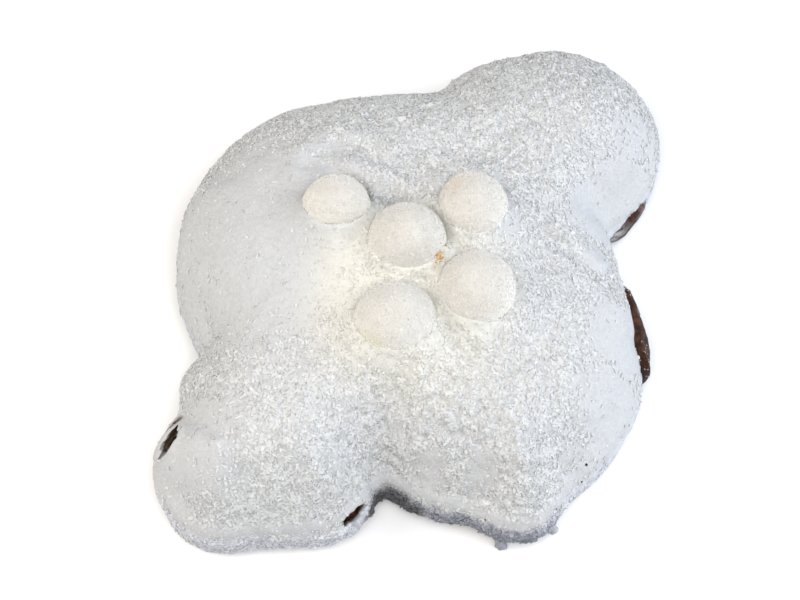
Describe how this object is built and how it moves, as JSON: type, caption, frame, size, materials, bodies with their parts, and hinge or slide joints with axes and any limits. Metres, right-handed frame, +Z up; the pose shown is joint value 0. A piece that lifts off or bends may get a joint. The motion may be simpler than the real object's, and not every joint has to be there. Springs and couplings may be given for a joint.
{
  "type": "colomba easter cake",
  "caption": "Dove-shaped sweet Easter loaf under a thick white coat of icing and coconut flakes, with round coconut truffles pressed into the top and bare brown crust at some edges.",
  "frame": {"origin": "middle of the box round the whole cake, at the surface that it stands on", "axes": "+X from tail to head, +Y towards the left wing, +Z up"},
  "size_m": [0.2544, 0.1956, 0.0854],
  "materials": {
    "crust": "matte baked crust, reddish brown",
    "icing": "matte white icing with desiccated coconut",
    "truffle": "matte cream white, dusted with fine coconut"
  },
  "bodies": {
    "root": {"cake": "crust", "icing": "icing", "truffle_1": "truffle", "truffle_2": "truffle", "truffle_3": "truffle", "truffle_4": "truffle", "truffle_5": "truffle"}
  },
  "joints": []
}
